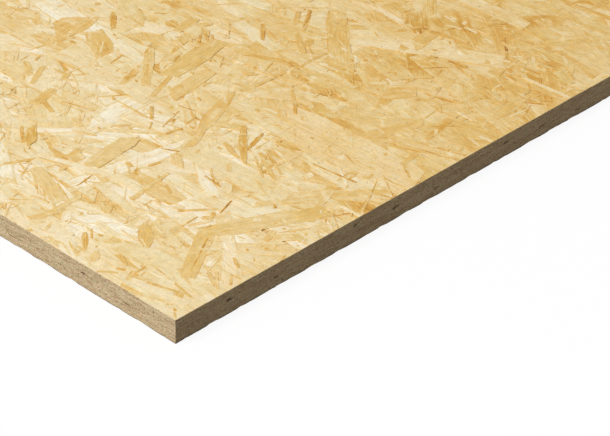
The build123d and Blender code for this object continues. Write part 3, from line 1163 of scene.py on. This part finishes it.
def edgeStrip(rng, start, heading, run, ends, cad, tree):
    # one stretch of sawn edge as a standing plate. start is its left end seen from outside
    plan = edgePlan
    outward = Vector((heading.y, -heading.x, 0))
    along = edgeColumns(start, heading, run, cad)
    heights = edgeHeights()
    columns = len(along)
    endGrain = abs(outward.x) > 0.5
    depth = np.zeros((len(heights), columns))
    for row, height in enumerate(heights):
        for column in range(columns):
            inside = min(max(along[column], plan["nearCorner"]), run - plan["nearCorner"])
            for lift in (-plan["raySpread"], 0.0, plan["raySpread"]):
                origin = start + heading * inside + outward * plan["rayStart"]
                origin.z = min(max(height + lift, plan["nearFace"]), thickness - plan["nearFace"])
                hit = tree.ray_cast(origin, -outward, 3 * plan["rayStart"])
                if hit[0] is not None:
                    depth[row, column] = max(depth[row, column], hit[3] - plan["rayStart"])
    hollow = depth.copy()
    calm = np.clip(np.minimum(along, run - along) / plan["calm"], 0, 1)
    for row in range(len(heights)):
        coarse, fine = (smoothNoise(rng, columns, steps) for steps in plan["reliefSteps"])
        relief = coarse * 0.5 + fine * 0.5
        depth[row] += plan["roughness"] * (0.5 + 0.5 * relief * calm)
    coarse, fine = (smoothNoise(rng, columns, steps) for steps in plan["tornSteps"])
    ragged = (coarse * plan["tornMix"] + fine * plan["tornMix"]).clip(0, 1) * calm
    for row, torn in enumerate(plan["torn"]):
        depth[row] += ragged * torn * mm
    inset = strandPlan["lipInset"]
    core, back = plan["coreTop"], plan["backing"]
    profile = [
        (np.full(columns, back), core + plan["bevel"]),
        (np.maximum(depth[0] + 0.5 * mm, inset + 0.3 * mm), core),
        (np.maximum(depth[0] + 0.3 * mm, inset), heights[0] + 0.02 * mm),  # the torn lower arris
        *zip(depth, heights),
        (np.full(columns, inset), heights[-1]),
        (np.full(columns, inset + 0.25 * mm), thickness - core),
        (np.full(columns, back), thickness - core - plan["bevel"]),
        (np.full(columns, back + 1 * mm), 0.0),  # the hidden back
    ]
    inwards = np.stack([inward for inward, _ in profile])
    # a mitre where the stretch ends at a corner of the board
    shifted = along + inwards * (ends[0] * np.clip(1 - along / plan["mitreFrom"], 0, 1))
    shifted = shifted - inwards * (ends[1] * np.clip(1 - (run - along) / plan["mitreFrom"], 0, 1))
    up = np.array([height for _, height in profile])[:, None] * np.ones(columns)
    points = np.stack([
        start.x + heading.x * shifted - outward.x * inwards,
        start.y + heading.y * shifted - outward.y * inwards,
        up,
    ], -1)
    rows = len(profile) - 1
    outline, fronts, walls, behind = plateTemplate(rows, columns)
    place = np.stack([np.tile(along, rows), up[:-1].reshape(-1)], -1)
    pit = np.zeros((rows, columns))
    below = 3  # rows of the profile under the sawn face
    pit[below:below + len(heights)] = hollow / mm
    foot = points[:-1].reshape(-1, 3)[outline]
    backPoints = points[-1][np.tile(np.arange(columns), rows)[outline]]
    foot[:, :2] = backPoints[:, :2]
    return {
        "points": np.concatenate([points[:-1].reshape(-1, 3), foot]),
        "faces": [fronts, walls, behind[None]],
        "place": np.concatenate([place, place[outline]]),
        "pit": np.concatenate([pit.reshape(-1), pit.reshape(-1)[outline]]),
        "endGrain": float(endGrain),
        "run": run,
    }


def coreBox(low, high):
    xs, ys, zs = zip(low, high)
    corners = np.array([[x, y, z] for z in zs for y in ys for x in xs])
    faces = np.array([[0, 2, 3, 1], [4, 5, 7, 6], [0, 1, 5, 4], [1, 3, 7, 5], [3, 2, 6, 7], [2, 0, 4, 6]])
    return corners, faces


# The pieces of the body: the size of each, and how far apart their sides lie on the edge's pattern
spanX, spanY = boardBox["length"] / tileColumns, boardBox["width"] / tileRows
sideApart = 5.0


def tileStrips(column, row):
    # where the board's sides run past a tile: left end, heading, run, mitred ends and way round
    low = Vector((-halfLength + column * spanX, -halfWidth + row * spanY, 0))
    first, last = column == 0, column == tileColumns - 1
    front, rear = row == 0, row == tileRows - 1
    sides = [
        (front, (0, 0, 0), (1, 0, 0), spanX, (first, last), column),
        (rear, (spanX, spanY, 0), (-1, 0, 0), spanX, (last, first), tileColumns - 1 - column),
        (first, (0, spanY, 0), (0, -1, 0), spanY, (rear, front), tileRows - 1 - row),
        (last, (spanX, 0, 0), (0, 1, 0), spanY, (front, rear), row),
    ]
    for index, (touches, offset, heading, run, ends, before) in enumerate(sides):
        if touches:
            yield low + Vector(offset), Vector(heading), run, ends, before * run + index * sideApart


# Where a body piece lies on the map that finishes are drawn to: its sawn edges in bands one above
# the other, and what is hidden above them all
bakePlan = {
    "hiddenFrom": (0.02, 0.93), "hiddenSize": (0.9, 0.06), "backHigh": 0.05,
    "bandsHigh": 0.88, "margin": 1 * mm, "rounding": 1e-4,
}


def makeBodyTile(rng, column, row, cad, tree, material):
    low = Vector((-halfLength + column * spanX, -halfWidth + row * spanY, 0))
    inset = edgePlan["boxInset"]
    core = edgePlan["coreTop"] - edgePlan["boxProud"]
    boxLow = [low.x + inset * (column == 0), low.y + inset * (row == 0), core]
    boxHigh = [
        low.x + spanX - inset * (column == tileColumns - 1),
        low.y + spanY - inset * (row == tileRows - 1),
        thickness - core,
    ]
    corners, boxFaces = coreBox(boxLow, boxHigh)
    points = [corners]
    polygons = boxFaces.tolist()
    facts = [np.zeros((len(corners), 5))]  # along, up, end grain, is an edge, pit
    left, bottom = bakePlan["hiddenFrom"]
    wide, high = bakePlan["hiddenSize"]
    flat = np.stack([
        left + wide * (corners[:, 0] - boxLow[0]) / spanX,
        bottom + high * (corners[:, 1] - boxLow[1]) / spanY,
    ], -1)
    bakes = [flat[boxFaces.reshape(-1)]]
    start = len(corners)
    made = [(edgeStrip(rng, *strip[:4], cad, tree), strip[4]) for strip in tileStrips(column, row)]
    total = sum(strip["run"] for strip, _ in made)
    height = thickness + 2 * bakePlan["margin"]
    bands = max(1, int(math.sqrt(bakePlan["bandsHigh"] * total / height)))
    bandLength = total / bands
    bandHeight = height / bandLength
    travelled = 0.0
    for strip, around in made:
        points.append(strip["points"])
        place = strip["place"]
        more = np.ones((len(place), 5))
        more[:, 0] = (place[:, 0] + around) / platePlan["mapUnit"]
        more[:, 1] = place[:, 1] / platePlan["mapUnit"]
        more[:, 2] = strip["endGrain"]
        more[:, 4] = strip["pit"]
        facts.append(more)
        for faces in strip["faces"]:
            polygons += (faces + start).tolist()
            here = place[faces]
            first = here[:, :, 0].min(1) + travelled
            band = np.floor(first / bandLength + bakePlan["rounding"])
            u = (here[:, :, 0] + travelled - band[:, None] * bandLength) / bandLength
            v = (band[:, None] * bandHeight) + (here[:, :, 1] + bakePlan["margin"]) / height * bandHeight
            if len(faces) == 1:  # the hidden back
                u = left + wide * here[:, :, 0] / strip["run"]
                v = bottom + bakePlan["backHigh"] * here[:, :, 1] / height
            bakes.append(np.stack([u.clip(0, 1), v], -1).reshape(-1, 2))
        start += len(place)
        travelled += strip["run"]
    name = f"body_{row * tileColumns + column + 1}"
    mesh = bpy.data.meshes.new(name)
    mesh.from_pydata(np.concatenate(points).tolist(), [], polygons)
    facts = np.concatenate(facts)
    for index, key in enumerate(("edgeAlong", "edgeUp", "endGrain", "isEdge", "pit")):
        setLayer(mesh, key, facts[:, index])
    setMap(mesh, "OFBake", np.concatenate(bakes))
    mesh.shade_flat()
    return addPiece(name, mesh, material)


sawnTones = [
    (0.12, paint(120, 92, 62)),
    (0.34, paint(176, 146, 106)),
    (0.52, paint(204, 179, 140)),
    (0.68, paint(222, 200, 160)),
    (0.90, paint(240, 222, 182)),
]
bareTones = [(0.3, paint(214, 172, 108)), (0.7, paint(242, 212, 156))]  # of the body behind
# The noises of the sawn edges: the pitch of each along and up the edge, then its detail, its
# roughness and its shift
sawnNoises = {
    "streak": ((20.0, 110.0), 4.0, 0.65),
    "mottle": ((58.0, 84.0), 3.0, 0.65),
    "grit": ((110.0, 170.0), 2.0, 0.6),
    "dark": ((38.0, 110.0), 2.0, 0.6),
    "red": ((30.0, 80.0), 2.0, 0.5, (3.1, 7.7)),
    "rosy": ((16.0, 38.0), 3.0, 0.6, (8.3, 1.9)),
    "torn": ((36.0, 20.0), 3.0),
}
sawnPlan = {
    "wave": ((9.0, 14.0), 3.0), "waveBy": 0.04,
    # cells along and up, where the saw ran with the grain and where it ran across
    "sections": ((3.0, 95.0), (16.0, 85.0)),
    "middleLayer": ((0.040, 0.050), (0.130, 0.140)),  # where it begins and ends, in tenths of a metre
    "cells": 0.22, "toneBy": {"streak": 0.27, "mottle": 0.60, "grit": 0.68}, "toneLess": 0.33,
    # where each stain or painted shade begins and is full, on its noise or up the edge
    "dark": (0.64, 0.71), "red": (0.62, 0.74), "torn": (0.4, 0.6), "tornHigh": (0.0, 0.012),
    "rosy": (0.22, 0.14, 0.02),
    "paintedShadow": (0.35, 0.4), "paintedShadowHigh": (0.004, 0.011), "paintedShadowRagged": 0.008,  # the painted contact shadow along the lowest rim
    "pit": (0.1, 1.2),  # the depth of a chip or void in millimetres
    "stainsAndShades": {
        "dark": (0.75, (92, 64, 40)),
        "red": (0.4, (160, 106, 68)),
        "torn": (0.5, (78, 56, 36)),
        # end grain darker: partly its own colour, partly a painted shade of the ends the key light barely
        # reaches
        "endGrain": (0.62, (101, 83, 50), "MULTIPLY"),
        # painted shade in chips and voids
        "pit": (0.6, (70, 48, 30), "MULTIPLY"),
    },
    "paintedShadowColour": (60, 46, 32),
    "relief": (0.5, 0.4, 0.8), "bump": (0.6, 0.25 * mm), "rough": 0.85, "specular": 0.2,
}


def makeSawnEdge():
    plan = sawnPlan
    material = bpy.data.materials.new("sawnEdge")
    n = Nodes(material)
    along, up, pit = (n.attribute(key) for key in ("edgeAlong", "edgeUp", "pit"))
    endGrain, isEdge = n.attribute("endGrain"), n.attribute("isEdge")
    sheet = n.make("ShaderNodeCombineXYZ", {}, [along, up, 0.0])
    wave = (n.noise(sheet, *plan["wave"]) - 0.5) * plan["waveBy"]
    bent = n.make("ShaderNodeCombineXYZ", {}, [along, up + wave, 0.0])
    noise = {key: n.noise(bent, *facts) for key, facts in sawnNoises.items()}
    # strand sections, long in some layers and short in the others
    sections = [n.split(n.cells(n.stretched(bent, scale), "Color"))[0] for scale in plan["sections"]]
    begins, ends = plan["middleLayer"]
    middle = n.step(up, *begins) * n.fade(up, *ends)
    crosswise = middle * (1 - endGrain) + (1 - middle) * endGrain
    value = n.mix(crosswise, *sections) * plan["cells"]
    for key, by in plan["toneBy"].items():
        value = value + noise[key] * by
    colour = n.ramp((value - plan["toneLess"]).clamp(), sawnTones)

    def stainedOrShaded(colour, where, key):
        share, seen, *way = plan["stainsAndShades"][key]
        return n.blend(where * share, colour, paint(*seen), *way)

    dark = n.step(noise["dark"], *plan["dark"])
    colour = stainedOrShaded(colour, dark, "dark")
    colour = stainedOrShaded(colour, n.step(noise["red"], *plan["red"]), "red")
    rosy = noise["rosy"] - 0.5
    redder, greener, bluer = plan["rosy"]
    colour = n.tinted(colour, 1 + rosy * redder, 1 - rosy * greener, 1 - rosy * bluer)
    # the lower arris is torn and dusty, and a painted contact shadow darkens its lowest rim
    torn = n.fade(up, *plan["tornHigh"]) * n.step(noise["torn"], *plan["torn"])
    # the end grain is darker, partly its own colour and partly a painted shade of the board's ends
    colour = stainedOrShaded(stainedOrShaded(colour, torn, "torn"), endGrain, "endGrain")
    # painted contact shadow: the lowest rim darker, the more so on the end grain
    everywhere, atEnds = plan["paintedShadow"]
    ragged = up + (noise["grit"] - 0.5) * plan["paintedShadowRagged"]
    paintedShadow = n.fade(ragged, *plan["paintedShadowHigh"]) * (everywhere + endGrain * atEnds)
    colour = n.blend(paintedShadow, colour, paint(*plan["paintedShadowColour"]))
    # painted shade: chips and voids darker the deeper they go
    colour = stainedOrShaded(colour, n.step(pit, *plan["pit"]), "pit")
    bare = n.ramp(n.noise(n.place(), *boardNoises["bed"]), bareTones)
    colour = n.blend(isEdge, bare, colour)
    streaks, mottling, hollows = plan["relief"]
    height = noise["streak"] * streaks + noise["mottle"] * mottling - dark * hollows
    n.finish(colour, plan["rough"], n.bump(*plan["bump"], height), plan["specular"])
    return material


def makeBody():
    rng = np.random.default_rng(seeds["body"])
    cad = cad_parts[boardBox["node"]].data
    tree = BVHTree.FromPolygons([v.co for v in cad.vertices], [list(p.vertices) for p in cad.polygons])
    material = makeSawnEdge()
    triangles = 0
    for row in range(tileRows):
        for column in range(tileColumns):
            triangles += makeBodyTile(rng, column, row, cad, tree, material)
    say(f"body made, {triangles} triangles")


makeBody()


# Floor, light and view

stagePlan = {
    "floorHalf": 60.0,
    "floorDrop": 0.3 * mm,
    "fadeFrom": (2.2, 4.5),  # how far out the floor turns into plain white
    "glow": 0.90,  # share of the floor's white that light and shade don't reach
    "bounce": 0.42,
    "sky": 0.40,
}
lampPlan = [
    {"name": "key", "place": (0.2, -3.6, 3.4), "aim": (0.9, -0.2, 0), "size": 1.8, "power": 150},
    {"name": "fill", "place": (4.6, -0.4, 3.0), "aim": (0.8, 0, 0), "size": 3.0, "power": 30},
]


def seenDirectly(n):
    # 1 for what the camera sees itself, or in a mirror or through glass
    path = n.make("ShaderNodeLightPath", {}, [], "Is Camera Ray")
    for name in ("Is Glossy Ray", "Is Transmission Ray"):
        path = path.math("MAXIMUM", Val(n, n.tree.nodes["Light Path"].outputs[name]))
    return path


def makeStage(plan):
    material = bpy.data.materials.new("whiteFloor")
    n = Nodes(material)
    lit = n.make("ShaderNodeBsdfDiffuse", {}, {"Color": (1, 1, 1, 1)})
    glow = n.make("ShaderNodeEmission", {}, {"Color": (1, 1, 1, 1), "Strength": 1.0})
    distance = n.make("ShaderNodeVectorMath", {"operation": "LENGTH"}, [n.place()], "Value")
    far = n.step(distance, *plan["fadeFrom"])
    share = far + (1 - far) * plan["glow"]
    white = n.make("ShaderNodeMixShader", {}, [share, lit, glow])
    dull = n.make("ShaderNodeBsdfDiffuse", {}, {"Color": (plan["bounce"],) * 3 + (1,)})
    shown = n.make("ShaderNodeMixShader", {}, [seenDirectly(n), dull, white])
    n.make("ShaderNodeOutputMaterial", {}, {"Surface": shown})
    half = plan["floorHalf"]
    mesh = bpy.data.meshes.new("floor")
    corners = [(-half, -half, 0), (half, -half, 0), (half, half, 0), (-half, half, 0)]
    mesh.from_pydata(corners, [], [(0, 1, 2, 3)])
    mesh.materials.append(material)
    floor = bpy.data.objects.new("floor", mesh)
    floor.location.z = -plan["floorDrop"]
    showInScene(floor)

    world = bpy.data.worlds.new("studio")
    bpy.context.scene.world = world
    w = Nodes(world)
    direct = seenDirectly(w)
    strength = direct + (1 - direct) * plan["sky"]
    sky = w.make("ShaderNodeBackground", {}, {"Color": (1, 1, 1, 1), "Strength": strength})
    w.make("ShaderNodeOutputWorld", {}, {"Surface": sky})


def makeLamps(plans):
    for plan in plans:
        data = bpy.data.lights.new(plan["name"], "AREA")
        data.shape = "DISK"
        data.size = plan["size"]
        data.energy = plan["power"]
        lamp = bpy.data.objects.new(plan["name"], data)
        lamp.location = plan["place"]
        aim = Vector(plan["aim"]) - lamp.location
        lamp.rotation_mode = "QUATERNION"
        lamp.rotation_quaternion = aim.to_track_quat("-Z", "Y")
        showInScene(lamp)


makeStage(stagePlan)
makeLamps(lampPlan)
bpy.context.scene.view_settings.view_transform = "Standard"
say("stage and lamps set")

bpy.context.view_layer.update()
say("done")
